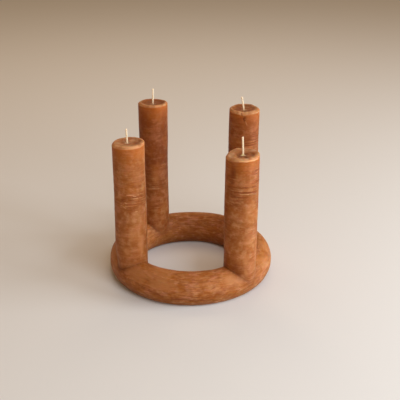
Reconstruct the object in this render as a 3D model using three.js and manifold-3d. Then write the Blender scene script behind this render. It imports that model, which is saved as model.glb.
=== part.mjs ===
// Advent ring candle: a ring of wax with four round columns standing on it, cast as one piece,
// and a cotton wick down the middle of each column.
// Millimetres, +Z up. The foot lies on z = 0 and the ring's centre is on the z axis. The front,
// where the two shorter columns stand, looks along -Y.
import * as THREE from 'three';
import { mergeVertices } from 'three/addons/utils/BufferGeometryUtils.js';
import Module from 'manifold-3d';

// Ring: an upright oval tube bent into a circle, with its underside cut flat for the foot
const ringRadius = 81;
const tubeHalfWidth = 18.6;
const tubeHalfHeight = 19.9;
const tubeCentreHeight = 16.3;
const ringSteps = 96;
const tubeSteps = 22;

// Columns: where each stands round the ring, anticlockwise from +X, how high its rim is, its
// radius and how deep its top is dished. The wick leaves the dish at [x, y] from the column's
// middle, stands out by its own length and leans by [x, y] at its tip.
const columns = [
  {
    place: 'front_left', azimuth: 211.3, height: 180.7, radius: 18.4, dish: 1.1,
    wickOffset: [-1.2, 0], wickLength: 17.3, lean: [-0.5, 0.3],
  },
  {
    place: 'back_left', azimuth: 125.0, height: 193.8, radius: 17.9, dish: 2.0,
    wickOffset: [0.1, 0], wickLength: 20.0, lean: [0.4, 0.2],
  },
  {
    place: 'back_right', azimuth: 36.3, height: 191.9, radius: 18.2, dish: 2.1,
    wickOffset: [-0.8, 0], wickLength: 17.1, lean: [-2.6, 0.4],
  },
  {
    place: 'front_right', azimuth: -45.2, height: 172.4, radius: 18.9, dish: 1.75,
    wickOffset: [0.5, 0], wickLength: 22.3, lean: [-0.9, 0.2],
  },
];
const columnSteps = 36;
const wallRings = 6;

// Column root: below the ring's top the wall draws in, so it meets the tube's side in a clear crease
const rootHeight = 11;
const rootInset = 6;
const rootRings = 4;

// Column top: a rounded rim round a shallow dish, with a dimple at the wick
const rimRounding = 3.4;
const rimSteps = 5;
const dishRings = [0.78, 0.55];
const dimpleRadius = 3.6;
const dimpleDepth = 0.9;
const dimpleShoulder = { reach: 0.6, drop: 0.8 };

// Hand-cast unevenness of a column: two waves in its radius that wind up the wall, each turning by
// one radian over its own height, and a rim that dips a little on one side
const columnWave = 0.28;
const waveStart = 25;
const slowWave = { lobes: 2, height: 28, share: 1, shift: 1.7 };
const quickWave = { lobes: 3, height: -17, share: 0.5, shift: 2.9 };
const rimTilt = { size: 0.45, start: 1.3, shift: 2.2 };

// Unevenness of the ring's top: its waves repeat after half a turn, which keeps the ring centred
const ringWaves = [
  { size: 0.19, lobes: 2, start: 0.6 },
  { size: 0.11, lobes: 4, start: 2.1 },
];

// Wick: a round cord in a channel that stays open at the top and ends short of the foot
const wickRadius = 1.1;
const wickClearance = 0.3;
const wickSteps = 10;
const channelFloor = 8;
const wickTipRounding = 0.35;
const wickBendRings = 5;

const waxMaterial = new THREE.MeshStandardMaterial({ color: 0xb0693f, roughness: 0.55, metalness: 0 });
const wickMaterial = new THREE.MeshStandardMaterial({ color: 0xeedcc0, roughness: 0.95, metalness: 0 });

const wasm = await Module();
wasm.setup();

const radians = THREE.MathUtils.degToRad;

// Turns a closed profile of [radius, height] points round the upright axis
function turned(profile, steps) {
  const points = profile.map(([radius, height]) => new THREE.Vector2(radius, height));
  const geometry = new THREE.LatheGeometry(points, steps);
  geometry.rotateX(Math.PI / 2);
  return merged(geometry);
}

// Joins the vertices that share a place and drops the triangles that this closes to a line
function merged(geometry) {
  geometry.deleteAttribute('normal');
  geometry.deleteAttribute('uv');
  const welded = mergeVertices(geometry, 1e-4);
  const corners = Array.from(welded.index.array);
  const kept = [];
  for (let i = 0; i < corners.length; i += 3) {
    const [a, b, c] = corners.slice(i, i + 3);
    if (a !== b && b !== c && c !== a) {
      kept.push(a, b, c);
    }
  }
  welded.setIndex(kept);
  return welded;
}

// Moves every vertex by a rule that gives its new place
function reshaped(geometry, rule) {
  const positions = geometry.attributes.position;
  const point = new THREE.Vector3();
  for (let i = 0; i < positions.count; i += 1) {
    point.fromBufferAttribute(positions, i);
    rule(point);
    positions.setXYZ(i, point.x, point.y, point.z);
  }
  return geometry;
}

function toSolid(geometry) {
  return new wasm.Manifold(new wasm.Mesh({
    numProp: 3,
    vertProperties: new Float32Array(geometry.attributes.position.array),
    triVerts: new Uint32Array(geometry.index.array),
  }));
}

function toGeometry(solid) {
  const mesh = solid.getMesh();
  const geometry = new THREE.BufferGeometry();
  geometry.setAttribute('position', new THREE.BufferAttribute(mesh.vertProperties, 3));
  geometry.setIndex(new THREE.BufferAttribute(mesh.triVerts, 1));
  geometry.computeVertexNormals();
  return geometry;
}

// The tube's section, from the foot's inner edge up and over to its outer edge and back
function tubeProfile() {
  const footAngle = Math.asin(tubeCentreHeight / tubeHalfHeight);
  const start = Math.PI + footAngle;
  const sweep = Math.PI + 2 * footAngle;
  const profile = [];
  for (let i = 0; i <= tubeSteps; i += 1) {
    const angle = start - (sweep * i) / tubeSteps;
    const height = tubeCentreHeight + tubeHalfHeight * Math.sin(angle);
    const onFoot = i === 0 || i === tubeSteps;
    profile.push([ringRadius + tubeHalfWidth * Math.cos(angle), onFoot ? 0 : height]);
  }
  profile.push(profile[0]);
  return profile.reverse();
}

function makeRing() {
  return reshaped(turned(tubeProfile(), ringSteps), (point) => {
    const turn = Math.atan2(point.y, point.x);
    const heightShare = point.z / (tubeCentreHeight + tubeHalfHeight);
    for (const wave of ringWaves) {
      point.z += wave.size * heightShare * Math.sin(wave.lobes * turn + wave.start);
    }
  });
}

const rootTop = tubeCentreHeight + rootHeight;

// From the axis at the column's root in the tube, up its wall, over the rim and down the dish
function columnProfile({ height, radius, dish }) {
  const profile = [[0, tubeCentreHeight]];
  for (let i = 0; i < rootRings; i += 1) {
    const drop = 1 - i / rootRings;
    profile.push([radius - rootInset * (1 - Math.sqrt(1 - drop * drop)), rootTop - rootHeight * drop]);
  }
  const wallTop = height - rimRounding;
  for (let i = 0; i <= wallRings; i += 1) {
    profile.push([radius, rootTop + ((wallTop - rootTop) * i) / wallRings]);
  }
  for (let i = 1; i <= rimSteps; i += 1) {
    const angle = (Math.PI / 2) * (i / rimSteps);
    const reach = radius - rimRounding + rimRounding * Math.cos(angle);
    profile.push([reach, wallTop + rimRounding * Math.sin(angle)]);
  }
  const rimInner = radius - rimRounding;
  for (const share of dishRings) {
    profile.push([rimInner * share, height - dish * (1 - share * share)]);
  }
  const dimpleTop = height - dish * (1 - (dimpleRadius / rimInner) ** 2);
  profile.push([dimpleRadius, dimpleTop]);
  profile.push([dimpleRadius * dimpleShoulder.reach, dimpleTop - dimpleDepth * dimpleShoulder.drop]);
  profile.push([0, dimpleTop - dimpleDepth]);
  return profile;
}

function dishFloor(column) {
  const profile = columnProfile(column);
  return profile[profile.length - 1][1];
}

function columnCentre({ azimuth }) {
  const turn = radians(azimuth);
  return [ringRadius * Math.cos(turn), ringRadius * Math.sin(turn)];
}

function wickCentre(column) {
  const [x, y] = columnCentre(column);
  return [x + column.wickOffset[0], y + column.wickOffset[1]];
}

// A wave's push on the wall at an angle and a height, different on each column
function windingWave(wave, turn, rise, order) {
  return wave.share * Math.sin(wave.lobes * turn + rise / wave.height + wave.shift * order);
}

function makeColumn(column, order) {
  const [x, y] = columnCentre(column);
  const wallTop = column.height - rimRounding;
  const geometry = reshaped(turned(columnProfile(column), columnSteps), (point) => {
    const turn = Math.atan2(point.y, point.x);
    const outward = Math.hypot(point.x, point.y) / column.radius;
    const rise = Math.max(0, point.z - rootTop);
    const strength = columnWave * outward * Math.min(1, rise / waveStart);
    const waves = windingWave(slowWave, turn, rise, order) + windingWave(quickWave, turn, rise, order);
    point.x += strength * waves * Math.cos(turn);
    point.y += strength * waves * Math.sin(turn);
    if (point.z > wallTop) {
      point.z += rimTilt.size * outward * Math.sin(turn + rimTilt.start + rimTilt.shift * order);
    }
  });
  geometry.translate(x, y, 0);
  return geometry;
}

function makeChannel(column) {
  const [x, y] = wickCentre(column);
  const radius = wickRadius + wickClearance;
  const geometry = turned(
    [[0, channelFloor], [radius, channelFloor], [radius, column.height], [0, column.height]],
    wickSteps,
  );
  geometry.translate(x, y, 0);
  return geometry;
}

function makeWaxBody() {
  let solid = toSolid(makeRing());
  columns.forEach((column, order) => {
    solid = solid.add(toSolid(makeColumn(column, order)));
  });
  for (const column of columns) {
    solid = solid.subtract(toSolid(makeChannel(column)));
  }
  return toGeometry(solid);
}

// Straight in its channel, then leaning over a little more towards its tip
function makeWick(column) {
  const [x, y] = wickCentre(column);
  const exit = dishFloor(column);
  const foot = channelFloor + wickClearance;
  const profile = [[0, foot], [wickRadius, foot]];
  for (let i = 0; i < wickBendRings; i += 1) {
    profile.push([wickRadius, exit + (column.wickLength * i) / wickBendRings]);
  }
  const tip = exit + column.wickLength;
  profile.push([wickRadius, tip - wickTipRounding]);
  profile.push([wickRadius - wickTipRounding, tip]);
  profile.push([0, tip]);
  const geometry = reshaped(turned(profile, wickSteps), (point) => {
    const share = Math.max(0, (point.z - exit) / column.wickLength);
    point.x += column.lean[0] * share * share;
    point.y += column.lean[1] * share * share;
  });
  geometry.translate(x, y, 0);
  return geometry;
}

function named(name, geometry, material) {
  const mesh = new THREE.Mesh(geometry, material);
  mesh.name = name;
  return mesh;
}

const candle = new THREE.Group();
candle.add(named('wax_body', makeWaxBody(), waxMaterial));
for (const column of columns) {
  candle.add(named(`wick_${column.place}`, makeWick(column), wickMaterial));
}

export default candle;
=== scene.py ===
import math

import bpy
import numpy as np
from mathutils import Matrix, Vector, geometry, noise


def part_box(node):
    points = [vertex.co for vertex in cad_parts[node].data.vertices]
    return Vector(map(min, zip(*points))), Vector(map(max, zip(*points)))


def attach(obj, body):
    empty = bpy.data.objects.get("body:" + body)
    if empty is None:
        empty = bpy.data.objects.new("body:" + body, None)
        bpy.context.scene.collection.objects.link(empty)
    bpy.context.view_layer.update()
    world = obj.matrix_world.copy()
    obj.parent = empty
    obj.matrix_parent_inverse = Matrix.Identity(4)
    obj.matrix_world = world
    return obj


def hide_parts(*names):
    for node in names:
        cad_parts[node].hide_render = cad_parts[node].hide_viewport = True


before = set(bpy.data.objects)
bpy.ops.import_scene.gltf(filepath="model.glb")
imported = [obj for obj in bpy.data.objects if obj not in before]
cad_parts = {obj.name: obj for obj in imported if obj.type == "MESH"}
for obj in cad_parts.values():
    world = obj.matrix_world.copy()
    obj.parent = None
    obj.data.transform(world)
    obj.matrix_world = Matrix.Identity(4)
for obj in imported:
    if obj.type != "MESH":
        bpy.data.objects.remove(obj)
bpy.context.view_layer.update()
scene = bpy.context.scene

# Camera: it stands straight in front, about a metre away, and looks down across the ring with the
# field of a short telephoto lens.
camera_distance = 0.9692
camera_rise = 0.5052
camera_pitch = 0.4189
camera_yaw = 0.0133
camera_roll = 0.0040
camera_lens = 69.28

camera_data = bpy.data.cameras.new("camera")
camera_data.lens = camera_lens
camera_data.sensor_width = 36.0
camera = bpy.data.objects.new("camera", camera_data)
scene.collection.objects.link(camera)
sight = Vector((
    math.sin(camera_yaw) * math.cos(camera_pitch),
    math.cos(camera_yaw) * math.cos(camera_pitch),
    -math.sin(camera_pitch),
))
sideways = sight.cross(Vector((0, 0, 1))).normalized()
upright = sideways.cross(sight)
camera_right = math.cos(camera_roll) * sideways + math.sin(camera_roll) * upright
camera_up = math.cos(camera_roll) * upright - math.sin(camera_roll) * sideways
camera_axes = Matrix((camera_right, camera_up, -sight)).transposed().to_4x4()
camera_place = camera_distance * Vector((0, -math.cos(camera_rise), math.sin(camera_rise)))
camera.matrix_world = Matrix.Translation(camera_place) @ camera_axes
scene.camera = camera
scene.view_settings.view_transform = "Standard"

# Studio: a plain pale floor, with a large soft window light at the right and a little in front. Two
# weaker ones stand in front, high and low, and a faint warm one behind. The room fills in all round.
floor_half = 6.0
floor_tone = (0.77, 0.735, 0.715, 1)
floor_roughness = 0.8
room_tone = (1.0, 0.68, 0.37, 1)
room_strength = 0.315
window_tone = (0.97, 1.10, 1.20)
back_tone = (1.0, 0.80, 0.58)
window_aim = Vector((0, 0, 0.1))

floor_mesh = bpy.data.meshes.new("floor")
floor_corners = [(x * floor_half, y * floor_half, 0) for x, y in ((-1, -1), (1, -1), (1, 1), (-1, 1))]
floor_mesh.from_pydata(floor_corners, [], [(0, 1, 2, 3)])
floor = bpy.data.objects.new("floor", floor_mesh)
scene.collection.objects.link(floor)
floor_material = bpy.data.materials.new("floor")
floor_material.use_nodes = True
floor_shader = floor_material.node_tree.nodes["Principled BSDF"]
floor_shader.inputs["Base Color"].default_value = floor_tone
floor_shader.inputs["Roughness"].default_value = floor_roughness
floor_mesh.materials.append(floor_material)

world = bpy.data.worlds.new("room")
world.use_nodes = True
world.node_tree.nodes["Background"].inputs["Color"].default_value = room_tone
world.node_tree.nodes["Background"].inputs["Strength"].default_value = room_strength
scene.world = world


def add_window(name, azimuth, elevation, power, tone=window_tone, distance=1.5, size=(0.8, 0.6)):
    """An oblong soft light that faces the middle of the candle, its angles in degrees"""
    light_data = bpy.data.lights.new(name, "AREA")
    light_data.shape = "RECTANGLE"
    light_data.size, light_data.size_y = size
    light_data.energy = power
    light_data.color = tone
    light = bpy.data.objects.new(name, light_data)
    scene.collection.objects.link(light)
    turn, rise = math.radians(azimuth), math.radians(elevation)
    way = Vector((math.cos(turn) * math.cos(rise), math.sin(turn) * math.cos(rise), math.sin(rise)))
    light.location = window_aim + way * distance
    light.rotation_euler = way.to_track_quat("Z", "Y").to_euler()


add_window("window", -12, 14, 19)
add_window("upper_window", -65, 55, 6.0)
add_window("front_window", -60, 14, 5.5)
add_window("back_window", 95, 50, 5, back_tone, 1.6, (1.2, 0.8))

# Wax casting: the ring and its four columns, poured as one piece of rust-brown dyed wax. The
# columns are as thick as the ring's tube and run into it in a soft crease, the rims are rounded
# and the tops dished where the wax sank as it set. The wicks stand in narrow channels.
ring_radius = 0.081
tube_half_width = 0.0186
tube_half_height = 0.0199
tube_mean = (tube_half_width + tube_half_height) / 2
tube_centre_height = 0.0163
foot_rounding = 0.0008
ring_top = tube_centre_height + tube_half_height
# A wave in the poured surface is its size, how many go round and where they start.
ring_waves = ((0.00019, 2, 0.6), (0.00011, 4, 2.1))

# Each column: where it stands, its form, its top, and how its wall looks. A bevel is its size, how
# much that varies and the side where it is widest. A pool is where the top sank: its middle, from
# the column's, and its radius. A top form is a rise or dip: its middle, its reach and its height.
# The line zone is the height where the fine lines are strongest and how far they spread from it, the
# depth of the colour is given at the foot and at the top, and the outer draw is how far the foot is
# drawn in on its outer side. A collar is the spilt wax at the wick's foot: its height and its reach.
# A pit is how strong the painted shade round the wick is, the rim's paleness is the strength of its
# painted highlight, and a crease is how far it is rounded and how strong its painted shade is.
columns = {
    "front_left": {
        "azimuth": 211.3, "height": 0.1807, "radius": 0.0184, "dish": 0.0011,
        "bevel": (0.0020, 0.25, 190), "pool": (0.0020, 0.0018, 0.0128), "top_forms": (),
        "rim_waves": ((0.00018, 3, 0.4), (0.00012, 5, 1.0)), "top_lumps": 0.00025,
        "line_strength": 0.55, "line_zone": (0.118, 0.024), "depth": (0.10, 0.0), "outer_draw": 0.0020,
        "collar": (0.0004, 0.0016), "pit_shade": 0.5, "rim_highlight": 1.0, "crease": (0.0021, 1.15),
    },
    "back_left": {
        "azimuth": 125.0, "height": 0.1938, "radius": 0.0179, "dish": 0.0020,
        "bevel": (0.0018, 0.15, 200), "pool": (0.0003, 0.0008, 0.0144), "top_forms": (),
        "rim_waves": ((0.00016, 3, 2.4), (0.00012, 4, 0.3)), "top_lumps": 0.0003,
        "line_strength": 0.6, "line_zone": (0.090, 0.040), "depth": (0.40, 0.95), "outer_draw": 0.0,
        "collar": (0.0003, 0.0015), "pit_shade": 0.6, "rim_highlight": 0.95, "crease": (0.0008, 1.0),
    },
    "back_right": {
        "azimuth": 36.3, "height": 0.1919, "radius": 0.0182, "dish": 0.0021,
        "bevel": (0.0021, 0.20, -70), "pool": (-0.0008, 0.0008, 0.0140),
        "top_forms": ((-0.003, -0.016, 0.0035, -0.0005), (0.011, -0.008, 0.004, 0.0003)),
        "rim_waves": ((0.00035, 1, 1.57), (0.00020, 3, 4.1), (0.00014, 6, 2.2)), "top_lumps": 0.0004,
        "line_strength": 0.8, "line_zone": (0.150, 0.030), "depth": (0.40, 0.68), "outer_draw": 0.0,
        "collar": (0.0004, 0.0015), "pit_shade": 0.6, "rim_highlight": 0.9, "crease": (0.0008, 0.9),
    },
    "front_right": {
        "azimuth": -45.2, "height": 0.1724, "radius": 0.0189, "dish": 0.00175,
        "bevel": (0.0022, 0.42, 170), "pool": (0.0030, -0.0012, 0.0112),
        "top_forms": (
            (-0.0130, 0.0040, 0.0060, -0.0009), (0.0090, -0.0140, 0.0050, 0.0006),
            (0.0065, 0.0045, 0.0035, 0.0008), (0.0120, -0.0010, 0.0030, -0.0006),
            (-0.0045, -0.0060, 0.0034, -0.0013), (0.0, 0.0020, 0.0040, -0.0006),
        ),
        "rim_waves": ((0.0006, 1, 0.8), (0.00030, 3, 1.2), (0.00022, 5, 4.4)), "top_lumps": 0.0010,
        "line_strength": 0.8, "line_zone": (0.148, 0.028), "depth": (0.10, 0.28), "outer_draw": 0.0,
        "collar": (0.0013, 0.0011), "pit_shade": 1.3, "rim_highlight": 1.0, "crease": (0.0010, 1.1),
    },
}
root_height = 0.011
root_top = tube_centre_height + root_height
root_inset = 0.0010
outer_draw_height = 0.018
outer_side = (0.0, 0.9)
crease_ceiling = ring_top + 0.004
crease_halvings = 40

# The waves that wind up a wall: their lobes, the height in which they turn by one radian, their
# share of the wave's size, and their shift from column to column. A rim's tilt has its size, start
# and shift.
column_wave = 0.00028
wave_start = 0.025
winding_waves = ((2, 0.028, 1.0, 1.7), (3, -0.017, 0.5, 2.9))
rim_tilt = (0.00045, 1.3, 2.2)


def smooth_step(low, high, value):
    share = np.clip((value - low) / (high - low), 0, 1)
    return share * share * (3 - 2 * share)


def swell(waves, turn):
    """The rise and fall that such waves make together"""
    return sum(size * np.sin(lobes * turn + start) for size, lobes, start in waves)


def ring_lift(turn):
    """The waves of the ring's top, as a share of its height"""
    return swell(ring_waves, turn) / ring_top


def ring_surface(turn, around):
    """Points of the ring: turn goes round the ring, around goes round its tube from outside to top"""
    reach = ring_radius + tube_half_width * np.cos(around)
    height = tube_centre_height + tube_half_height * np.sin(around)
    blend = np.clip(1 - np.abs(height) / foot_rounding, 0, 1)
    height = np.maximum(height, 0) + blend * blend * foot_rounding / 4
    height = height * (1 + ring_lift(turn))
    return np.stack([reach * np.cos(turn), reach * np.sin(turn), height], -1)


def in_tube(points):
    """Each point's turn round the ring, and its place across and up in the tube, in its half sizes"""
    turn = np.arctan2(points[:, 1], points[:, 0])
    across = (np.hypot(points[:, 0], points[:, 1]) - ring_radius) / tube_half_width
    up = (points[:, 2] / (1 + ring_lift(turn)) - tube_centre_height) / tube_half_height
    return turn, across, up


def ring_gap(points):
    """How far points stand out of the tube"""
    _, across, up = in_tube(points)
    return (np.hypot(across, up) - 1) * tube_mean


def column_centre(column):
    turn = math.radians(column["azimuth"])
    return ring_radius * np.array([math.cos(turn), math.sin(turn)])


def wall_reach(column, turn, height):
    """The wall's distance from the column's middle: a drawn-in root, then waves that wind upward"""
    drop = np.clip((root_top - height) / root_height, 0, 1)
    rise = np.maximum(0, height - root_top)
    waves = sum(
        share * np.sin(lobes * turn + rise / climb + shift * column["order"])
        for lobes, climb, share, shift in winding_waves
    )
    strength = column_wave * np.minimum(1, rise / wave_start)
    outer = smooth_step(*outer_side, np.cos(turn - math.radians(column["azimuth"])))
    outer_draw = column["outer_draw"] * outer
    outer_draw = outer_draw * (1 - smooth_step(root_top, root_top + outer_draw_height, height))
    return column["radius"] - root_inset * drop * drop - outer_draw + strength * waves


def from_column(column, points):
    """Each point's turn round a column's middle, and its distance from it"""
    across = points[:, :2] - column_centre(column)
    return np.arctan2(across[:, 1], across[:, 0]), np.hypot(across[:, 0], across[:, 1])


def column_gap(column, points):
    """How far points stand out of a column's wall"""
    turn, away = from_column(column, points)
    return away - wall_reach(column, turn, points[:, 2])


def wall_points(column, turn, height):
    reach = wall_reach(column, turn, height)
    x, y = column_centre(column)
    return np.stack([x + reach * np.cos(turn), y + reach * np.sin(turn), height], -1)


def crease_heights(column, turn):
    """Where the wall leaves the ring, found by halving the stretch between inside and outside"""
    low = np.full_like(turn, tube_centre_height)
    high = np.full_like(turn, crease_ceiling)
    for _ in range(crease_halvings):
        middle = (low + high) / 2
        inside = ring_gap(wall_points(column, turn, middle)) < 0
        low = np.where(inside, middle, low)
        high = np.where(inside, high, middle)
    return high


vertices = []
faces = []
rim_share = []
dish_share = []
top_share = []
collar_share = []


def keep_points(points, rim=0, dish=0, top=0, collar=0):
    """Keeps points with their share of a rim, a dish, a top and a collar, and returns their numbers.
    The points of a channel have a top share of 2."""
    first = len(vertices)
    vertices.extend(points.tolist())
    for shares, share in ((rim_share, rim), (dish_share, dish), (top_share, top), (collar_share, collar)):
        shares.extend(np.broadcast_to(share, len(points)).tolist())
    return np.arange(first, first + len(points))


def add_row(below, points, *shares):
    """Keeps a closed row of points, joined by a band of quads to the row below it if there is one"""
    above = keep_points(points, *shares)
    if below is not None:
        faces.extend(np.stack([below, np.roll(below, -1), np.roll(above, -1), above], -1).tolist())
    return above


# The tops: the wax sank a little all over, and more in a pool with a sloping edge. The pool has
# painted shade, and the rim round it a painted highlight, most of all towards the front.
sunk_shelf = 0.3
pool_slope = (0.70, 1.02)
pool_shade_edge = (0.88, 1.04)
dimple_radius = 0.0036
dimple_depth = 0.0009
dimple_sharpness = 1.3
bevel_squareness = 1.45
# The painted highlight on the rims: its mean paleness and its swing, strongest at the front
rim_highlight_paleness = (0.78, 0.22)
rim_glow_height = 0.0010
rim_foot_share = 0.75
shelf_rim_share = 0.30
shelf_fade = 5
collar_tall = 0.0013
collar_swings = (0.3, 0.2)
# How far the painted shade round the wick reaches
pit_reach = 0.0045
channel_radius = 0.0014
channel_floor = 0.008

# The column's mesh: its sides crowd towards the front, and its rows where the fine lines are.
column_sides = 66
side_crowding = 0.5
wall_rows = 236
row_crowding = 1.6
row_samples = 400
rim_rows = 7
dish_rows = 24
even_turns = np.arange(column_sides) / column_sides * 2 * math.pi
side_turns = even_turns - side_crowding * np.cos(even_turns)


def top_level(column, x, y, away):
    """The poured top's height at places measured from the column's middle, and how far each lies from
    the middle of the pool, in the pool's radius"""
    turn = np.arctan2(y, x)
    pool_x, pool_y, pool_radius = column["pool"]
    pool = np.hypot(x - pool_x, y - pool_y) / pool_radius
    sunk = sunk_shelf * (1 - away ** 2) + (1 - sunk_shelf) * (1 - smooth_step(*pool_slope, pool))
    tilt_size, tilt_start, tilt_shift = rim_tilt
    waves = ((tilt_size, 1, tilt_start + tilt_shift * column["order"]), *column["rim_waves"])
    level = column["height"] - column["dish"] * sunk + swell(waves, turn) * away
    for form_x, form_y, reach, size in column["top_forms"]:
        level = level + size * np.exp(-((x - form_x) ** 2 + (y - form_y) ** 2) / reach ** 2)
    return level, pool


def row_rises(column, foot, top):
    """How far up the wall each row lies, from 0 at the foot to 1 at the top"""
    zone_middle, zone_half = column["line_zone"]
    rises = np.linspace(0, 1, row_samples)
    heights = foot + (top - foot) * rises
    rows_below = np.cumsum(1 + row_crowding * np.exp(-((heights - zone_middle) / zone_half) ** 2))
    rows_below = (rows_below - rows_below[0]) / (rows_below[-1] - rows_below[0])
    return np.interp(np.linspace(0, 1, wall_rows + 1), rows_below, rises)


def make_column(column):
    """The wall from the crease up, the rim, the dish and the wick's channel. Returns the crease row."""
    x, y = column_centre(column)
    across_x, across_y = np.cos(side_turns), np.sin(side_turns)
    mean_bevel, swing, widest = column["bevel"]
    bevel = mean_bevel * (1 + swing * np.cos(side_turns - math.radians(widest)))
    top_reach = wall_reach(column, side_turns, np.full(column_sides, column["height"]))
    crest = top_reach - bevel
    crest_level, _ = top_level(column, crest * across_x, crest * across_y, 1.0)
    wall_top = crest_level - bevel
    # The rim's painted highlight, paler towards the front
    mean_pale, pale_swing = rim_highlight_paleness
    paleness = column["rim_highlight"] * (mean_pale - pale_swing * np.sin(side_turns))

    # Wall
    crease = crease_heights(column, side_turns)
    row = crease_row = add_row(None, wall_points(column, side_turns, crease))
    for rise in row_rises(column, crease.mean(), wall_top.mean())[1:]:
        level = crease + (wall_top - crease) * rise
        # The rim's painted highlight reaches a little way down the wall
        glow = smooth_step(-rim_glow_height, 0, level - wall_top)
        spots = wall_points(column, side_turns, level)
        row = add_row(row, spots, rim_foot_share * glow * paleness)

    # Rim
    for i in range(1, rim_rows + 1):
        share = i / rim_rows
        angle = math.pi / 2 * share
        reach = top_reach - bevel * (1 - math.cos(angle) ** bevel_squareness)
        level = wall_top + bevel * math.sin(angle) ** bevel_squareness
        spots = np.stack([x + reach * across_x, y + reach * across_y, level], -1)
        rim = (rim_foot_share + (1 - rim_foot_share) * share) * paleness
        row = add_row(row, spots, rim, 0, share)

    # Dish, with the dimple and the spilt wax at the wick
    wick_foot, _ = column["wick_ends"]
    collar_height, collar_reach = column["collar"]
    wide_swing, narrow_swing = collar_swings
    collar_waves = ((wide_swing, 3, column["order"]), (narrow_swing, 5, 0))
    collar_edge = 1 + swell(collar_waves, side_turns)
    for i in range(1, dish_rows + 1):
        share = 1 - i / dish_rows
        reach = channel_radius + (crest - channel_radius) * share
        middle = (wick_foot[:2] - np.array([x, y])) * (1 - share)
        spot_x, spot_y = middle[0] + reach * across_x, middle[1] + reach * across_y
        level, pool = top_level(column, spot_x, spot_y, reach / crest)
        level = level - dimple_depth * np.exp(-(reach / dimple_radius * dimple_sharpness) ** 2)
        collar = np.exp(-((reach - channel_radius) / (collar_reach * collar_edge)) ** 2)
        level = level + collar_height * collar
        spots = np.stack([x + spot_x, y + spot_y, level], -1)
        # Painted shade in the sunk pool, darker still round the wick
        pool_shade = 1 - smooth_step(*pool_shade_edge, pool)
        rim = (1 - pool_shade) * (shelf_rim_share + (1 - shelf_rim_share) * share ** shelf_fade) * paleness
        pool_shade = pool_shade * (1 + column["pit_shade"] * np.exp(-(reach / pit_reach) ** 2))
        row = add_row(row, spots, rim, pool_shade, 1, collar * collar_height / collar_tall)

    # Channel, down to its floor
    spots[:, 2] = channel_floor
    row = add_row(row, spots, 0, 1, 2)
    end = keep_points(np.array([[*wick_foot[:2], channel_floor]]), 0, 1, 2)[0]
    faces.extend([here, beside, end] for here, beside in zip(row.tolist(), np.roll(row, -1).tolist()))
    return crease_row


# The ring's mesh: a grid of cells, with a window round each seat that is sewn afresh and reaches a
# little below the tube's widest line. The foot wraps a little past where the tube meets the floor.
ring_cells = 312
tube_step = 0.0015
foot_wrap = 0.06
foot_cells = 5
seat_margin = 0.0008
seat_window = 0.0215
seat_skirt = 0.12
sewing_tolerance = 1e-7
foot_edge = math.asin(tube_centre_height / tube_half_height) + foot_wrap
side_cells = round((math.pi + 2 * foot_edge) * tube_mean / tube_step)
around_steps = np.concatenate([
    np.linspace(-foot_edge, math.pi + foot_edge, side_cells + 1),
    np.linspace(math.pi + foot_edge, 2 * math.pi - foot_edge, foot_cells + 1)[1:-1],
])
turn_steps = np.arange(ring_cells) / ring_cells * 2 * math.pi


def segment_distance(points, starts, ends):
    """Each point's distance to the nearest of the segments, in the plane"""
    along = ends - starts
    offset = points[:, None] - starts[None]
    share = np.clip((offset * along).sum(-1) / (along * along).sum(-1), 0, 1)
    return np.linalg.norm(offset - share[..., None] * along, axis=-1).min(1)


def inside_loop(points, loop):
    """True where a point of the plane lies in a closed loop"""
    ahead = np.roll(loop, -1, 0)
    x, y = points[:, 0, None], points[:, 1, None]
    crosses = (loop[:, 1] > y) != (ahead[:, 1] > y)
    rise = np.where(ahead[:, 1] == loop[:, 1], 1, ahead[:, 1] - loop[:, 1])
    cut = loop[:, 0] + (y - loop[:, 1]) / rise * (ahead[:, 0] - loop[:, 0])
    return (crosses & (x < cut)).sum(1) % 2 == 1


def unrolled(points, azimuth):
    """Places on the ring's surface as flat coordinates: along the ring, and round its tube"""
    turn, across, up = in_tube(points)
    turn = azimuth + (turn - azimuth + math.pi) % (2 * math.pi) - math.pi
    return np.stack([turn * ring_radius, np.arctan2(up, across) * tube_mean], -1)


def sew_seat(crease_row, loop, border, middle, flat, kept):
    """Triangles between a column's crease row and the edge of its opening in the ring's grid"""
    ids = np.concatenate([crease_row, kept[border], kept[middle]])
    spots = np.concatenate([loop, flat[border], flat[middle]])
    seam = len(loop)
    edges = [(i, (i + 1) % seam) for i in range(seam)]
    edges += [(seam + i, seam + (i + 1) % len(border)) for i in range(len(border))]
    corners = [Vector(spot) for spot in spots]
    sewn = geometry.delaunay_2d_cdt(corners, edges, [], 0, sewing_tolerance, True)
    corners_of = [origin[0] for origin in sewn[3]]
    for triangle in sewn[2]:
        a, b, c = (spots[corners_of[i]] for i in triangle)
        if inside_loop(((a + b + c) / 3)[None], loop)[0]:
            continue
        turned = (b[0] - a[0]) * (c[1] - a[1]) - (b[1] - a[1]) * (c[0] - a[0])
        order = triangle if turned > 0 else triangle[::-1]
        faces.append([int(ids[corners_of[i]]) for i in order])


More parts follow.
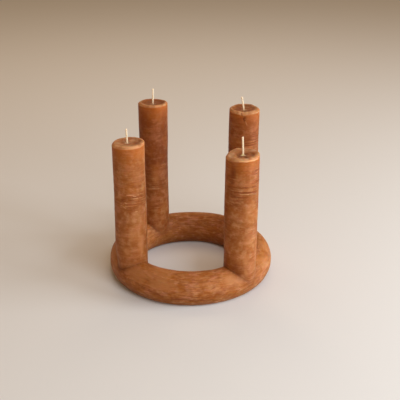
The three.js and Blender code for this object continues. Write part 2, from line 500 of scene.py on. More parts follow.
def make_ring(seats):
    """A grid round the ring, opened at each column's seat and sewn there to the column's crease row"""
    turn, around = np.meshgrid(turn_steps, around_steps, indexing="ij")
    grid = ring_surface(turn.ravel(), around.ravel())
    flat = np.stack([turn.ravel() * ring_radius, around.ravel() * tube_mean], -1)
    rows = len(around_steps)
    number = np.arange(ring_cells * rows).reshape(ring_cells, rows)
    dropped = np.zeros(ring_cells * rows, bool)
    covered = np.zeros((ring_cells, rows), bool)
    openings = []
    cell_turn = 2 * math.pi / ring_cells
    half_window = seat_window / ring_radius
    top_rows = np.nonzero((around_steps > -seat_skirt) & (around_steps < math.pi + seat_skirt))[0]
    low_row, high_row = top_rows[0], top_rows[-1]
    for azimuth, crease_row in seats:
        azimuth = azimuth % (2 * math.pi)
        first = int((azimuth - half_window) / cell_turn)
        last = int(math.ceil((azimuth + half_window) / cell_turn))
        covered[first:last, low_row:high_row] = True
        loop = unrolled(np.array([vertices[i] for i in crease_row]), azimuth)
        window = number[first:last + 1, low_row:high_row + 1]
        border = np.concatenate([window[:-1, 0], window[-1, :-1], window[:0:-1, -1], window[0, :0:-1]])
        middle = window[1:-1, 1:-1].ravel()
        near = segment_distance(flat[middle], loop, np.roll(loop, -1, 0)) < seat_margin
        taken = near | inside_loop(flat[middle], loop)
        dropped[middle[taken]] = True
        openings.append((crease_row, loop, border, middle[~taken]))
    kept = np.full(ring_cells * rows, -1)
    kept[~dropped] = keep_points(grid[~dropped])
    for here in range(ring_cells):
        beside = (here + 1) % ring_cells
        for row in range(rows):
            if not covered[here, row]:
                up = (row + 1) % rows
                corners = number[[here, beside, beside, here], [row, row, up, up]]
                faces.append(kept[corners].tolist())
    for crease_row, loop, border, middle in openings:
        sew_seat(crease_row, loop, border, middle, flat, kept)


# Each column stands round its wick, whose ends are read from thin slices of the CAD's cord.
wick_slice = 0.0002


def wick_ends(place):
    """The middles of a wick's foot and tip"""
    cord = np.array([vertex.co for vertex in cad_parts["wick_" + place].data.vertices])
    low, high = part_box("wick_" + place)
    slices = [cord[np.abs(cord[:, 2] - height) < wick_slice] for height in (low.z, high.z)]
    return [(end.min(0) + end.max(0)) / 2 for end in slices]


seats = []
for order, (place, column) in enumerate(columns.items()):
    column["order"] = order
    column["wick_ends"] = wick_ends(place)
    seats.append((math.radians(column["azimuth"]), make_column(column)))
make_ring(seats)

places = np.array(vertices)
rim_share = np.array(rim_share)
dish_share = np.array(dish_share)
in_channel = np.array(top_share) > 1
top_share = np.minimum(top_share, 1)
joining_rounds = 4
slope_step = 1e-5


def joined_gap(column, points):
    """The ring's and a column's gaps, run together over a short distance to soften the crease"""
    softness, _ = column["crease"]
    ring = ring_gap(points)
    wall = column_gap(column, points)
    blend = np.clip(1 - np.abs(ring - wall) / softness, 0, 1)
    return np.minimum(ring, wall) - blend * blend * softness / 4


def onto_joined_wax(column, points):
    """Moves points near a crease onto the wax that the ring and the column make together"""
    for _ in range(joining_rounds):
        gap = joined_gap(column, points)
        slope = np.stack([
            (joined_gap(column, points + slope_step * axis) - gap) / slope_step
            for axis in np.eye(3)
        ], -1)
        points = points - gap[:, None] * slope / (slope * slope).sum(-1, keepdims=True)
    return points


# What the finish has to know of each point on a column: how near the crease it is, how much painted
# shade its side of the crease gets, how much of it is ring, how strong the fine lines are, how lumpy
# the top and how deep the colour.
column_skin = 0.006
ring_skin = 0.004
far_away = 0.05
ring_fade = (-0.001, 0.004)
line_shares = (0.55, 0.75)
depth_heights = (0.085, 0.125)
below_rim_reach = 0.010
# The painted shade in the creases is darkest on this side, away from the window
crease_shade_turn = math.radians(-112)

crease_distance = np.full(len(places), far_away)
on_ring = np.ones(len(places))
lined, top_lumps, depth, below_rim, crease_shade_side = np.zeros((5, len(places)))
for column in columns.values():
    turn, away = from_column(column, places)
    mine = (away < column["radius"] + column_skin) & (places[:, 2] > tube_centre_height - ring_skin)
    spots = places[mine]
    wall = column_gap(column, spots)
    ring = ring_gap(spots)
    crease_distance[mine] = np.minimum(crease_distance[mine], np.abs(wall) + np.abs(ring))
    softness, crease_shade_strength = column["crease"]
    # painted shade in the crease, strongest on the side away from the window
    crease_shade_side[mine] = crease_shade_strength * (1 + np.cos(turn[mine] - crease_shade_turn)) / 2
    on_ring[mine] = 1 - smooth_step(*ring_fade, ring)
    zone_middle, zone_half = column["line_zone"]
    zone = np.exp(-((spots[:, 2] - zone_middle) / zone_half) ** 2)
    lined[mine] = column["line_strength"] * (line_shares[0] + line_shares[1] * zone)
    top_lumps[mine] = column["top_lumps"]
    low_depth, high_depth = column["depth"]
    depth[mine] = low_depth + (high_depth - low_depth) * smooth_step(*depth_heights, spots[:, 2])
    below_rim[mine] = np.exp(-np.maximum(0, column["height"] - spots[:, 2]) / below_rim_reach)
    near = (np.abs(wall) + np.abs(ring) < 2 * softness) & (top_share[mine] == 0)
    spots[near] = onto_joined_wax(column, spots[near])
    places[mine] = spots

wax_mesh = bpy.data.meshes.new("wax_casting")
wax_mesh.from_pydata(places.tolist(), [], faces)
wax_mesh.validate()
wax = bpy.data.objects.new("wax_casting", wax_mesh)
scene.collection.objects.link(wax)

# Marks on the wax, each a straight stretch on a column's wall: where it starts and ends as a turn in
# degrees and a height, how far it stands out or cuts in, and how wide it is.
marks = {
    "front_left": (
        (-98, 0.1243, -75, 0.1239, 0.00035, 0.0006),
        (-74, 0.1226, -63, 0.1221, 0.00045, 0.0005),
        (-78, 0.1213, -62, 0.1205, -0.0005, 0.0006),
        (-74, 0.1198, -62, 0.1193, 0.00045, 0.0005),
        (-90, 0.1258, -73, 0.1252, -0.00025, 0.0006),
        (-64, 0.1256, -56, 0.1238, 0.00022, 0.0005),
        (-56, 0.1238, -43, 0.1244, 0.00022, 0.0005),
        (-43, 0.1244, -30, 0.1199, 0.00022, 0.0006),
        (-61, 0.1191, -48, 0.12, 0.00022, 0.0005),
        (-48, 0.12, -27, 0.1152, 0.00022, 0.0006),
        (-60, 0.1223, -48, 0.1181, -0.00025, 0.0006),
        (-48, 0.123, -34, 0.1206, -0.00022, 0.0006),
        (-104, 0.1152, -99, 0.1135, 0.0003, 0.0009),
        (-120, 0.1106, -108, 0.1126, 0.00022, 0.0008),
        (-112, 0.1099, -103, 0.1078, 0.0003, 0.0009),
        (-72, 0.1144, -65, 0.1136, 0.00022, 0.0008),
        (-73, 0.1063, -56, 0.1058, -0.00025, 0.0007),
        (-68, 0.1038, -60, 0.1033, 0.0003, 0.0008),
        (-63, 0.099, -53, 0.0978, 0.00022, 0.0008),
        (-123, 0.1252, -114, 0.1256, -0.0003, 0.0007),
        (-114, 0.1239, -101, 0.1241, -0.00025, 0.0007),
        (-108, 0.1779, -38, 0.1776, 0.00015, 0.0006),
    ),
    "front_right": (
        (-100, 0.1333, -72, 0.1331, -0.00042, 0.0005),
        (-72, 0.1331, -59, 0.1333, -0.00022, 0.0005),
        (-59, 0.1333, -37, 0.1314, -0.00028, 0.0005),
        (-100, 0.1318, -72, 0.1315, 0.00034, 0.0005),
        (-72, 0.1322, -37, 0.1299, 0.0003, 0.0005),
        (-100, 0.1374, -73, 0.1386, -0.00024, 0.0006),
        (-87, 0.1448, -73, 0.1449, -0.00024, 0.0005),
        (-73, 0.1435, -39, 0.1426, -0.00018, 0.0006),
        (-100, 0.1466, -74, 0.1481, -0.00022, 0.0006),
        (-74, 0.1488, -40, 0.1487, -0.00018, 0.0006),
        (-101, 0.1513, -74, 0.1528, -0.00026, 0.0006),
        (-74, 0.1535, -41, 0.1535, -0.00018, 0.0006),
        (-101, 0.1586, -75, 0.1589, -0.00026, 0.0006),
        (-75, 0.1576, -42, 0.1577, -0.00022, 0.0006),
        (-102, 0.1641, -75, 0.1645, -0.00024, 0.0006),
        (-95, 0.168, -43, 0.1667, -0.00024, 0.0006),
        (-104, 0.1704, -34, 0.1706, 0.00065, 0.0006),
        (-99, 0.1271, -64, 0.1269, -0.00018, 0.0007),
        (-85, 0.1211, -34, 0.119, -0.00018, 0.0008),
        (-75, 0.0905, -62, 0.09, -0.0004, 0.0007),
        (-90, 0.078, -75, 0.0776, -0.00022, 0.0008),
    ),
    "back_right": (
        (-107, 0.1905, -102, 0.1875, -0.0006, 0.0008),
        (-102, 0.188, -92, 0.1832, 0.00025, 0.0007),
        (-92, 0.1832, -84, 0.1765, 0.0003, 0.0007),
        (-97, 0.1838, -94, 0.181, -0.0008, 0.0011),
        (20, 0.125, 80, 0.1268, 0.0003, 0.0007),
        (60, 0.095, 100, 0.0945, -0.00025, 0.0008),
    ),
    "back_left": (
        (-100, 0.118, -60, 0.119, -0.0002, 0.0008),
        (-96, 0.086, -70, 0.0852, 0.00022, 0.0007),
        (70, 0.14, 120, 0.1385, 0.0003, 0.0007),
    ),
}

# The same along the ring: a turn, an angle round the tube from its outside up, the two again at the
# other end, and the size and width.
ring_marks = (
    (-119, 3, -109, -10, -0.0007, 0.0013),
    (-130, 13, -122, 6, -0.0006, 0.0012),
    (-134, -27, -125, -25, -0.0004, 0.0012),
    (-103, -15, -93, -12, -0.0006, 0.0012),
    (-93, -18, -75, -20, -0.0007, 0.0012),
    (-92, 0, -62, -16, -0.0004, 0.0012),
    (-90, -9, -69, -20, 0.0003, 0.0011),
    (-74, -29, -66, -32, 0.0004, 0.0008),
    (-112, 60, -100, 52, 0.0003, 0.0009),
    (-88, 70, -76, 78, -0.0002, 0.0009),
    (-20, 20, 5, 28, -0.0004, 0.0008),
    (60, 60, 78, 66, 0.0003, 0.0009),
    (140, 10, 165, 4, -0.0004, 0.0009),
    (95, 150, 118, 158, -0.0003, 0.0008),
)

# Paler and deeper patches of colour. Many are stains in the wax, and some are painted light and
# shade: the pale band down the lit right side of the front right column is a painted highlight, the
# pale patches on the ring beside that column's foot and on the ring's front left are partly paler
# wax and partly painted light where the columns' shadows fall, and the deep patches by that column's
# foot add painted shade to its crease. Each ends with how far it reaches across and up and its
# strength, which is pale above nought and deep below it. On a wall its middle is a turn in degrees
# and a height, on a top two distances from the column's middle and a height, and on the ring a turn
# and an angle round the tube from its outside up.
wall_patches = {
    "front_left": (
        (-115, 0.1165, 0.004, 0.005, -0.6),
        (-111, 0.0906, 0.004, 0.006, -0.4),
        (-83, 0.0734, 0.005, 0.008, 0.8),
        (-50, 0.0596, 0.0045, 0.012, 0.9),
        (-103.5, 0.0525, 0.005, 0.006, 0.7),
        (-142.5, 0.0412, 0.0045, 0.006, -0.4),
        (-61, 0.145, 0.007, 0.012, 0.5),
        (-52.5, 0.097, 0.008, 0.02, 0.45),
    ),
    "front_right": (
        (-124, 0.1584, 0.0035, 0.008, -1.2),
        (-133, 0.1447, 0.004, 0.012, -0.6),
        (-62.5, 0.1098, 0.008, 0.016, 0.5),
        (-63, 0.075, 0.0075, 0.012, 0.6),
        (-71.5, 0.0475, 0.007, 0.01, 0.6),
        (-72, 0.033, 0.003, 0.004, 0.6),
        (-111, 0.04, 0.006, 0.011, -0.9),
        (-93.5, 0.0325, 0.0045, 0.0045, -0.9),
    ),
    "back_left": (
        (-50.5, 0.0876, 0.005, 0.006, -0.7),
        (-76.5, 0.1, 0.007, 0.01, 0.5),
        (-87, 0.0601, 0.007, 0.006, -0.5),
        (-84, 0.0445, 0.006, 0.006, 0.5),
    ),
    "back_right": (
        (-93, 0.1845, 0.0026, 0.0028, -1.3),
    ),
}
top_patches = {
    "front_left": (
        (0.0085, -0.0009, 0.18, 0.0042, 0.003, -0.8),
        (0.0042, 0.0064, 0.1805, 0.0042, 0.003, 1.3),
        (-0.0108, -0.0029, 0.1805, 0.005, 0.003, 0.8),
        (-0.0056, 0.0011, 0.18, 0.004, 0.003, -0.5),
        (0.0032, -0.0079, 0.18, 0.0045, 0.003, 0.7),
    ),
    "front_right": (
        (-0.0034, -0.0062, 0.17, 0.0022, 0.004, -3.0),
        (0.0031, -0.0059, 0.17, 0.0019, 0.004, -2.4),
        (0.0118, 0.0075, 0.172, 0.004, 0.004, 1.4),
        (0.0079, 0.0005, 0.1715, 0.004, 0.003, -0.4),
        (-0.0126, 0.004, 0.172, 0.0055, 0.0035, 1.1),
        (-0.0156, -0.0035, 0.1715, 0.005, 0.0035, 1.1),
        (-0.0116, -0.0115, 0.1715, 0.004, 0.0035, 0.8),
        (-0.0088, 0.012, 0.172, 0.003, 0.003, -0.6),
        (0.0029, 0.0085, 0.172, 0.004, 0.003, 0.7),
        (0.0039, -0.0125, 0.1715, 0.004, 0.003, 1.2),
    ),
    "back_left": (
        (-0.0105, 0.0016, 0.193, 0.006, 0.004, -0.6),
    ),
    "back_right": (
        (-0.0093, 0.001, 0.1915, 0.007, 0.004, -0.8),
    ),
}
ring_patches = (
    (-61.5, 46, 0.011, 0.008, 0.9),
    (-54.5, 26, 0.008, 0.006, 0.6),
    (-114.5, 78, 0.014, 0.008, 0.8),
    (-127, 42, 0.012, 0.008, 0.8),
    (-81, 41, 0.011, 0.005, 0.5),
    (-136.5, 45, 0.012, 0.008, 0.9),
    (-113, 25, 0.009, 0.005, 0.9),
    (-73.5, 3, 0.012, 0.0035, -0.6),
    (-106.5, 33, 0.013, 0.006, 0.8),
    (-112.5, 5, 0.005, 0.003, -0.5),
    (-70.5, 0, 0.012, 0.004, -0.3),
    (-170, 42, 0.015, 0.008, 1.2),
    (-155, 39, 0.009, 0.008, 0.8),
    (-97, 66, 0.016, 0.005, -0.4),
    (-82.5, 64, 0.015, 0.005, -0.4),
    (-71, 62, 0.008, 0.0045, -0.45),
    (-5, 64, 0.012, 0.008, 0.8),
    (-24.5, 36, 0.012, 0.008, 0.8),
)


def patch_spots():
    """Every patch as its middle in space, its reach across and up, and its strength"""
    for place, column in columns.items():
        x, y = column_centre(column)
        for turn, height, *patch in wall_patches[place]:
            right = column["radius"] * math.cos(math.radians(turn))
            back = column["radius"] * math.sin(math.radians(turn))
            yield x + right, y + back, height, *patch
        for right, back, height, *patch in top_patches[place]:
            yield x + right, y + back, height, *patch
    for turn, around, *patch in ring_patches:
        yield *ring_surface(math.radians(turn), math.radians(around)), *patch


def patch_shares(points):
    share = np.zeros(len(points))
    for x, y, z, across, up, strength in patch_spots():
        away = np.hypot(points[:, 0] - x, points[:, 1] - y) / across
        share += strength * np.exp(-away ** 2 - ((points[:, 2] - z) / up) ** 2)
    return share


# A mark isn't quite straight. It sways by the first of these, and the rest say how fast the sway's
# wave turns: along the ring, or round a column and with the mark's height.
ring_mark_bend = (0.0005, 600)
wall_mark_bend = (0.0002, 14, 900)
ring_mark_depth = 0.001
ring_mark_turn = 0.45
wall_mark_depth = 0.003


def stretch_relief(flat, start, end, size, width):
    """The relief of one mark at flat places"""
    away = segment_distance(flat, np.array([start]), np.array([end]))
    return size * np.exp(-(away / width) ** 2)


def mark_relief(points):
    relief = np.zeros(len(points))
    ring_turn = np.arctan2(points[:, 1], points[:, 0])
    gap = ring_gap(points)
    bend, waves = ring_mark_bend
    for turn_a, around_a, turn_b, around_b, size, width in ring_marks:
        azimuth = math.radians((turn_a + turn_b) / 2)
        near = (gap < ring_mark_depth) & (np.cos(ring_turn - azimuth) > math.cos(ring_mark_turn))
        flat = unrolled(points[near], azimuth)
        flat[:, 1] += bend * np.sin(flat[:, 0] * waves)
        start = math.radians(turn_a) * ring_radius, math.radians(around_a) * tube_mean
        end = math.radians(turn_b) * ring_radius, math.radians(around_b) * tube_mean
        relief[near] += stretch_relief(flat, start, end, size, width)
    bend, waves, shift = wall_mark_bend
    for place, column_marks in marks.items():
        radius = columns[place]["radius"]
        turn, away = from_column(columns[place], points)
        near = np.abs(away - radius) < wall_mark_depth
        for turn_a, height_a, turn_b, height_b, size, width in column_marks:
            height = points[near, 2] + bend * np.sin(waves * turn[near] + shift * height_a)
            flat = np.stack([turn[near] * radius, height], -1)
            start = math.radians(turn_a) * radius, height_a
            end = math.radians(turn_b) * radius, height_b
            relief[near] += stretch_relief(flat, start, end, size, width)
    return relief


def noise_field(points, across, up, shift):
    """Smooth random values at points, from -1 to 1, with features of about the given size"""
    spots = points / np.array((across, across, up)) + np.array(shift)
    return np.array([noise.noise(Vector(spot)) for spot in spots])


# Relief: broad lumps and small pebbles all over, level striations on the walls, streaks along the
# ring and lumps on the tops. It dies out at the foot and stays out of the wicks' channels.
lump_size = 0.00020
pebble_size = 0.00007
striation_size = 0.00018
streak_size = 0.00016
wander_size = 0.0009
streak_show = 0.6
rim_calm = 0.5
clump_edge = (-0.45, 0.20)
smooth_foot = 0.004

x, y, z = places.T
around = np.arctan2(z - tube_centre_height, np.hypot(x, y) - ring_radius) * tube_mean
lumps = noise_field(places, 0.015, 0.022, (3.1, 7.7, 1.9))
pebbles = noise_field(places, 0.0045, 0.0040, (11.3, 2.2, 5.1))
line_clumps = noise_field(places, 0.016, 0.013, (1.4, 9.2, 4.6))
top_field = noise_field(places, 0.0050, 0.0050, (2.7, 4.9, 7.3))
wander = wander_size * noise_field(places, 0.010, 0.012, (6.1, 3.4, 8.2))
striations = noise_field(np.stack([x, y, z + wander], -1), 0.030, 0.0015, (8.8, 0.7, 3.3))
streaks = noise_field(np.stack([x, y, around + wander], -1), 0.026, 0.0019, (5.5, 6.1, 2.8))
wall_share = (1 - on_ring) * (1 - rim_calm * rim_share) * (1 - top_share)
lined = lined * wall_share * smooth_step(*clump_edge, line_clumps)
lines = striations * lined + streak_show * streaks * on_ring
marks_cut = mark_relief(places)
relief = lump_size * lumps + pebble_size * pebbles + marks_cut
relief += striation_size * striations * lined + streak_size * streaks * on_ring
relief += top_lumps * top_field * top_share
relief *= smooth_step(0.0, smooth_foot, z)
relief[in_channel] = 0

normals = np.zeros(len(places) * 3)
wax_mesh.vertices.foreach_get("normal", normals)
normals = normals.reshape(-1, 3)
places = places + normals * relief[:, None]
wax_mesh.vertices.foreach_set("co", places.ravel())
wax_mesh.shade_smooth()
wax_mesh.update()

# What the finish reads from the mesh at every point: shares from 0 to about 1, and lines, marks and
# patches on both sides of 0.
crease_shade_reach = 0.0021
full_mark = 0.0004
mean_shade = 0.8
shade_swing = 0.4
crease_limits = (0.2, 1)
patch_lift = 0.1
patch_limits = (0.4, 1.3)
unevenness = mean_shade + shade_swing * noise_field(places, 0.007, 0.007, (9.4, 1.2, 6.6))
crease_shade = np.exp(-crease_distance / crease_shade_reach) * crease_shade_side
surface_shares = {
    "on_ring": on_ring,
    "rim": rim_share,
    "dish": dish_share,
    "top": top_share,
    "below_rim": below_rim * (1 - top_share) * (1 - rim_share),
    "crease": crease_shade * np.clip(unevenness, *crease_limits),
    "lines": lines,
    "marks": marks_cut / full_mark,
    "patch": patch_shares(places) * np.clip(unevenness + patch_lift, *patch_limits),
    "depth": depth * (1 - on_ring),
    "lined": lined,
    "collar": np.array(collar_share),
}
for share_name, share in surface_shares.items():
    attribute = wax_mesh.attributes.new(share_name, "FLOAT", "POINT")
    attribute.data.foreach_set("value", share.astype(np.float32))


class Signal:
    """A value or colour on its way through a material, with the sums that a finish is made of"""

    def __init__(self, finish, socket):
        self.finish = finish
        self.socket = socket

    def sum_with(self, operation, *terms):
        return self.finish.add("ShaderNodeMath", {"operation": operation}, dict(enumerate(terms)))

    def __add__(self, other):
        return self.sum_with("ADD", self, other)

    def __sub__(self, other):
        return self.sum_with("SUBTRACT", self, other)

    def __rsub__(self, other):
        return self.sum_with("SUBTRACT", other, self)

    def __mul__(self, other):
        return self.sum_with("MULTIPLY", self, other)

    __radd__ = __add__
    __rmul__ = __mul__


class Finish:
    """A material and its nodes"""

    def __init__(self, name):
        self.material = bpy.data.materials.new(name)
        self.material.use_nodes = True
        self.tree = self.material.node_tree
        self.tree.nodes.clear()

    def add(self, kind, settings=None, inputs=None, output=0):
        """Adds a node: its settings first, then its sockets' values or links"""
        node = self.tree.nodes.new(kind)
        for setting, value in (settings or {}).items():
            setattr(node, setting, value)
        for socket, value in (inputs or {}).items():
            if isinstance(value, Signal):
                self.tree.links.new(value.socket, node.inputs[socket])
            else:
                node.inputs[socket].default_value = value
        return Signal(self, node.outputs[output]) if node.outputs else None

    def share(self, name):
        return self.add("ShaderNodeAttribute", {"attribute_name": name}, output="Fac")

    def place(self):
        return self.add("ShaderNodeTexCoord", output="Object")

    def stretched(self, place, scale):
        return self.add("ShaderNodeVectorMath", {"operation": "MULTIPLY"}, {0: place, 1: scale})

    def cloud(self, place, scale, detail, roughness):
        inputs = {"Vector": place, "Scale": scale, "Detail": detail, "Roughness": roughness}
        return self.add("ShaderNodeTexNoise", None, inputs)

    def ramp(self, value, low, high):
        """0 below low, 1 above high and smooth between them"""
        inputs = {"Value": value, "From Min": low, "From Max": high}
        return self.add("ShaderNodeMapRange", {"interpolation_type": "SMOOTHSTEP"}, inputs)

    def mix(self, share, first, second):
        return self.add("ShaderNodeMix", {"data_type": "RGBA"}, {0: share, 6: first, 7: second}, 2)

    def layered(self, tone, *layers):
        """Lays tones over one another, each by its share"""
        for share, layer in layers:
            tone = self.mix(share, tone, layer)
        return tone

    def shade(self, inputs):
        shader = self.add("ShaderNodeBsdfPrincipled", None, inputs)
        self.add("ShaderNodeOutputMaterial", None, {"Surface": shader})
        return self.material


wax_body_tone = (0.335, 0.099, 0.0162, 1)
wax_ring_tone = (0.395, 0.126, 0.0216, 1)
# Deep wax, also used for the painted shade of grooves, cuts and the wick's pit
wax_deep_tone = (0.200, 0.041, 0.0030, 1)
wax_orange_tone = (0.37, 0.099, 0.0085, 1)
wax_pink_tone = (0.50, 0.180, 0.076, 1)
# Painted glow: light shining through the thin wax just below the rims
painted_rim_glow_tone = (0.45, 0.107, 0.0054, 1)
# Pale patches: scuffs, and some painted light
wax_scuff_and_light_tone = (0.47, 0.179, 0.0576, 1)
wax_frost_tone = (0.56, 0.30, 0.18, 1)
# Painted shade: the wax darkens towards the foot as if in shadow near the floor
painted_foot_shade_tone = (0.23, 0.066, 0.0020, 1)
# Pale bloom, also used for painted highlights
wax_bloom_and_highlight_tone = (0.58, 0.287, 0.130, 1)
# Painted highlight on the rims
painted_rim_highlight_tone = (0.66, 0.325, 0.1395, 1)
# Painted highlight on the raised marks
painted_ridge_highlight_tone = (0.86, 0.485, 0.234, 1)
# Painted shade in the creases, also the tone of the deepest patches
painted_crease_shade_tone = (0.15, 0.030, 0.0010, 1)
wax_dish_tone = (0.36, 0.121, 0.0378, 1)
wax_dish_deep_tone = (0.25, 0.066, 0.0135, 1)
wax_spill_tone = (1.0, 0.757, 0.486, 1)
foot_shade_band = (0.022, 0.003)
upper_band = (0.13, 0.17)
line_wobble = 0.0009
line_grain_along = 26
line_grain_added_on_ring = 34
line_grain_across = 300
smear_grain_along = 66
smear_grain_across = 115
wax_bump_depth = 0.0008


def wax_bands(finish, place, ring_share, blotches):
    """The height, and two fields drawn out level round the columns and along the ring: fine lines and
    broad smears"""
    split = finish.add("ShaderNodeSeparateXYZ", None, {0: place})
    x, y, z = (Signal(finish, output) for output in split.socket.node.outputs)
    reach = finish.add("ShaderNodeMath", {"operation": "SQRT"}, {0: x * x + y * y}) - ring_radius
    around = finish.add("ShaderNodeMath", {"operation": "ARCTAN2"}, {0: z - tube_centre_height, 1: reach})
    level = z * (1 - ring_share) + around * tube_mean * ring_share + blotches * line_wobble
    fields = []
    for along, across, detail, roughness in (
        (line_grain_along + ring_share * line_grain_added_on_ring, line_grain_across, 1.5, 0.5),
        (smear_grain_along, smear_grain_across, 4.0, 0.6),
    ):
        drawn_out = {0: x * along, 1: y * along, 2: level * across}
        place = finish.add("ShaderNodeCombineXYZ", None, drawn_out)
        fields.append(finish.cloud(place, 1.0, detail, roughness))
    return z, *fields


def make_wax_finish():
    """Dyed wax: clouded tone, pale bloom, level striations on the columns, streaks along the ring"""
    finish = Finish("dyed_wax")
    ramp = finish.ramp
    place = finish.place()
    ring_share, rim, dish, top, below_rim, crease, lines, marks, patch, depth, lined, collar = (
        finish.share(name) for name in surface_shares
    )
    lined = lined + ring_share * 0.52
    open_wax = (1 - rim) * (1 - below_rim * 0.7)

    # Clouds of three sizes, and the fields drawn out in lines
    clouds = finish.cloud(place, 42, 4.0, 0.6)
    blotches = finish.cloud(place, 165, 3.0, 0.52)
    speckle = finish.cloud(finish.stretched(place, (260, 260, 900)), 1.0, 3.0, 0.65)
    height, fine_field, smears = wax_bands(finish, place, ring_share, blotches)
    off_line = (fine_field - 0.5) * (fine_field - 0.5)
    thin_lines = (1 - ramp(off_line, 0.0, 0.007)) * lined
    # painted highlights beside the fine lines
    painted_line_highlights = ramp(fine_field, 0.56, 0.68) * lined

    # The dyed wax, smeared and clouded, with painted shade towards the foot and a painted glow below the
    # rims
    smear = ramp(smears, 0.46, 0.66) * (0.52 + ring_share * 0.40) * (1 - depth * 0.5)
    tone = finish.layered(
        finish.mix(ring_share, wax_body_tone, wax_ring_tone),
        (depth + ramp(clouds, 0.56, 0.36) * 0.16, wax_deep_tone),
        (ramp(clouds, 0.46, 0.62) * 0.38, wax_orange_tone),
        (smear, wax_pink_tone),
        (ramp(smears, 0.47, 0.36) * ring_share * 0.7, wax_orange_tone),
        # painted shade towards the foot
        (ramp(height, *foot_shade_band) * 0.85, painted_foot_shade_tone),
        # painted glow below the rims
        (below_rim * 0.9, painted_rim_glow_tone),
    )

    # Pale bloom, with painted highlights on what stands out, and painted shade in the grooves
    bloom_and_ridge_highlight = ramp(blotches, 0.44, 0.72) * (0.42 - ring_share * 0.12)
    # painted highlights on the ridges and fine lines
    bloom_and_ridge_highlight = bloom_and_ridge_highlight + ramp(lines, 0.20, 0.70) * 0.18 + painted_line_highlights * 0.20
    bloom_and_ridge_highlight = bloom_and_ridge_highlight + ramp(speckle, 0.50, 0.70) * (0.18 - ring_share * 0.06)
    bloom_and_ridge_highlight = bloom_and_ridge_highlight * (1 - ramp(height, *upper_band) * 0.25) * open_wax * (1 - depth * 0.65)
    # painted shade in the grooves, the fine lines and the dips of the speckle
    painted_groove_shade = ramp(lines, -0.15, -0.60) * 0.40 + thin_lines * 0.75
    painted_groove_shade = painted_groove_shade + ramp(speckle, 0.46, 0.30) * 0.26
    tone = finish.layered(tone, (bloom_and_ridge_highlight, wax_bloom_and_highlight_tone), (painted_groove_shade * open_wax, wax_deep_tone))

    # The tops: a pool with painted shade, deepest round the wick, and painted highlights in it and on the
    # rim
    pit_shade = ramp(dish, 1.0, 2.0)
    pool_depth = depth + ramp(blotches, 0.60, 0.42) * 0.4 + pit_shade
    pool_tone = finish.mix(pool_depth, wax_dish_tone, wax_dish_deep_tone)
    # Pale patches in the pool paint its highlights
    pool_painted_highlight = dish * ramp(blotches, 0.50, 0.68) * 0.40 * (1 - depth)
    # painted highlight on the rim
    painted_rim_highlight = rim * (0.50 + ramp(blotches, 0.36, 0.58) * 0.45) * (1.05 - depth * 0.15)
    tone = finish.layered(
        tone,
        (top * 0.7, pool_tone),
        (dish, pool_tone),
        (pit_shade * 0.8, wax_deep_tone),
        (pool_painted_highlight, wax_bloom_and_highlight_tone),
        (painted_rim_highlight, painted_rim_highlight_tone),
    )

    # Patches, marks with painted highlights and shade, painted crease shade, and the spilt wax at the
    # wicks
    tone = finish.layered(
        tone,
        # pale patches, some of them painted light
        (ramp(patch, 0.05, 0.9) * 0.75, wax_scuff_and_light_tone),
        (ramp(patch, 0.3, 1.3) * top * 0.8, wax_frost_tone),
        # deep patches, some of them painted shade by the front right column's foot
        (ramp(patch, -0.05, -1.0) * 0.8, wax_deep_tone),
        (ramp(patch, -0.9, -1.8) * 0.8, painted_crease_shade_tone),
        # painted highlight on raised marks and painted shade in cut ones
        (ramp(marks, 0.20, 1.0) * 0.45, painted_ridge_highlight_tone),
        (ramp(marks, -0.25, -1.0) * 0.50, wax_deep_tone),
        # painted shade in the creases
        (crease * 0.85, painted_crease_shade_tone),
        (collar, wax_spill_tone),
    )

    roughness = 0.46 + speckle * 0.14 + bloom_and_ridge_highlight * 0.18 - rim * 0.06 - dish * 0.08
    grain = blotches * 0.35 + speckle * 0.35 * (1 - dish * 0.5) - thin_lines * 0.32
    bump_inputs = {"Height": grain, "Strength": 0.7, "Distance": wax_bump_depth}
    return finish.shade({
        "Base Color": tone,
        "Roughness": roughness,
        "Normal": finish.add("ShaderNodeBump", None, bump_inputs),
        "Subsurface Weight": 0.50,
        "Subsurface Radius": (1.0, 0.32, 0.12),
        "Subsurface Scale": 0.005,
        "Specular IOR Level": 0.18,
        "Sheen Weight": 0.05,
        "Sheen Roughness": 0.30,
        "Sheen Tint": (1.0, 0.90, 0.68, 1),
    })


wax_mesh.materials.append(make_wax_finish())
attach(wax, "root")
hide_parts("wax_body")

# Wicks: a flat plait of three cotton yarns down each column, undyed, soaked with a little wax
# where it leaves the dish, and cut square at the tip so that the yarn ends splay slightly.
yarns = 3
yarn_radius = 0.00060
yarn_sides = 8
tip_drop = 0.6 * yarn_radius
foot_lift = 0.5 * yarn_radius
plait_half_width = 0.00052
plait_half_depth = 0.0003
plait_pitch = 0.0062
hidden_step = 0.0011
shown_step = 0.00032
below_exit = 0.001
lean_curve = 1.3
splay = 0.35
splay_length = 0.0014
tip_taper = 0.25
tip_taper_length = 0.0006
soak_fade = (0.001, 0.005)


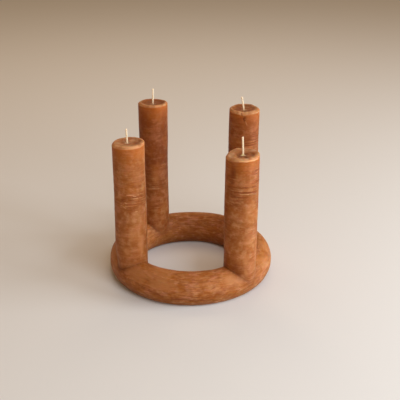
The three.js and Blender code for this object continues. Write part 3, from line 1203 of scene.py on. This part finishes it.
def make_wick(place):
    column = columns[place]
    foot, tip = column["wick_ends"]
    exit_height = column["height"] - column["dish"] - dimple_depth
    tip_height = tip[2] - tip_drop
    hidden = np.arange(foot[2] + foot_lift, exit_height - below_exit, hidden_step)
    shown = np.arange(exit_height - below_exit, tip_height, shown_step)
    heights = np.concatenate([hidden, shown, [tip_height]])
    lean = np.clip((heights - exit_height) / (tip_height - exit_height), 0, None) ** lean_curve
    middle = foot + (tip - foot) * lean[:, None]
    middle[:, 2] = heights
    spread = 1 + splay * smooth_step(tip_height - splay_length, tip_height, heights)
    fat = yarn_radius * (1 - tip_taper * smooth_step(tip_height - tip_taper_length, tip_height, heights))
    count = len(heights)
    spots, sheets = [], []
    for yarn in range(yarns):
        phase = (heights / plait_pitch + yarn / yarns) * 2 * math.pi
        weave_x = plait_half_width * spread * np.sin(phase)
        weave_y = plait_half_depth * spread * np.sin(2 * phase)
        line = middle + np.stack([weave_x, weave_y, np.zeros(count)], -1)
        forward = np.gradient(line, axis=0)
        forward /= np.linalg.norm(forward, axis=1, keepdims=True)
        side = np.cross(forward, (0, 1, 0))
        side /= np.linalg.norm(side, axis=1, keepdims=True)
        over = np.cross(side, forward)
        starts = [len(spots) + count * number for number in range(yarn_sides)]
        for number in range(yarn_sides):
            angle = 2 * math.pi * number / yarn_sides
            outward = math.cos(angle) * side + math.sin(angle) * over
            spots.extend((line + fat[:, None] * outward).tolist())
        for here, beside in zip(starts, starts[1:] + starts[:1]):
            sheets.extend([here + i, here + i + 1, beside + i + 1, beside + i] for i in range(count - 1))
        sheets.append(starts)
        sheets.append([start + count - 1 for start in reversed(starts)])
    mesh = bpy.data.meshes.new("plaited_wick_" + place)
    mesh.from_pydata(spots, [], sheets)
    mesh.shade_smooth()
    above_exit = np.array(spots)[:, 2] - exit_height
    soak = mesh.attributes.new("soak", "FLOAT", "POINT")
    soak.data.foreach_set("value", 1 - smooth_step(*soak_fade, above_exit))
    wick = bpy.data.objects.new("plaited_wick_" + place, mesh)
    scene.collection.objects.link(wick)
    return wick


cotton_tone = (0.98, 0.75, 0.50, 1)
cotton_shade_tone = (0.80, 0.58, 0.37, 1)
soaked_tone = (0.85, 0.58, 0.33, 1)


def make_cotton_finish():
    finish = Finish("waxed_cotton")
    place = finish.place()
    fibres = finish.cloud(finish.stretched(place, (5200, 5200, 900)), 1.0, 2.0, 0.5)
    soak = finish.share("soak")
    tone = finish.mix(finish.ramp(fibres, 0.60, 0.34) * 0.7, cotton_tone, cotton_shade_tone)
    tone = finish.mix(soak * 0.8, tone, soaked_tone)
    bump = finish.add("ShaderNodeBump", None, {"Height": fibres, "Strength": 0.6, "Distance": 0.0002})
    return finish.shade({
        "Base Color": tone,
        "Roughness": 0.85 - soak * 0.3,
        "Normal": bump,
        "Subsurface Weight": 0.2,
        "Subsurface Radius": (1.0, 0.8, 0.6),
        "Subsurface Scale": 0.0006,
        "Sheen Weight": 0.3,
        "Sheen Roughness": 0.5,
    })


cotton = make_cotton_finish()
for place in columns:
    wick = make_wick(place)
    wick.data.materials.append(cotton)
    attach(wick, "root")
    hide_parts("wick_" + place)
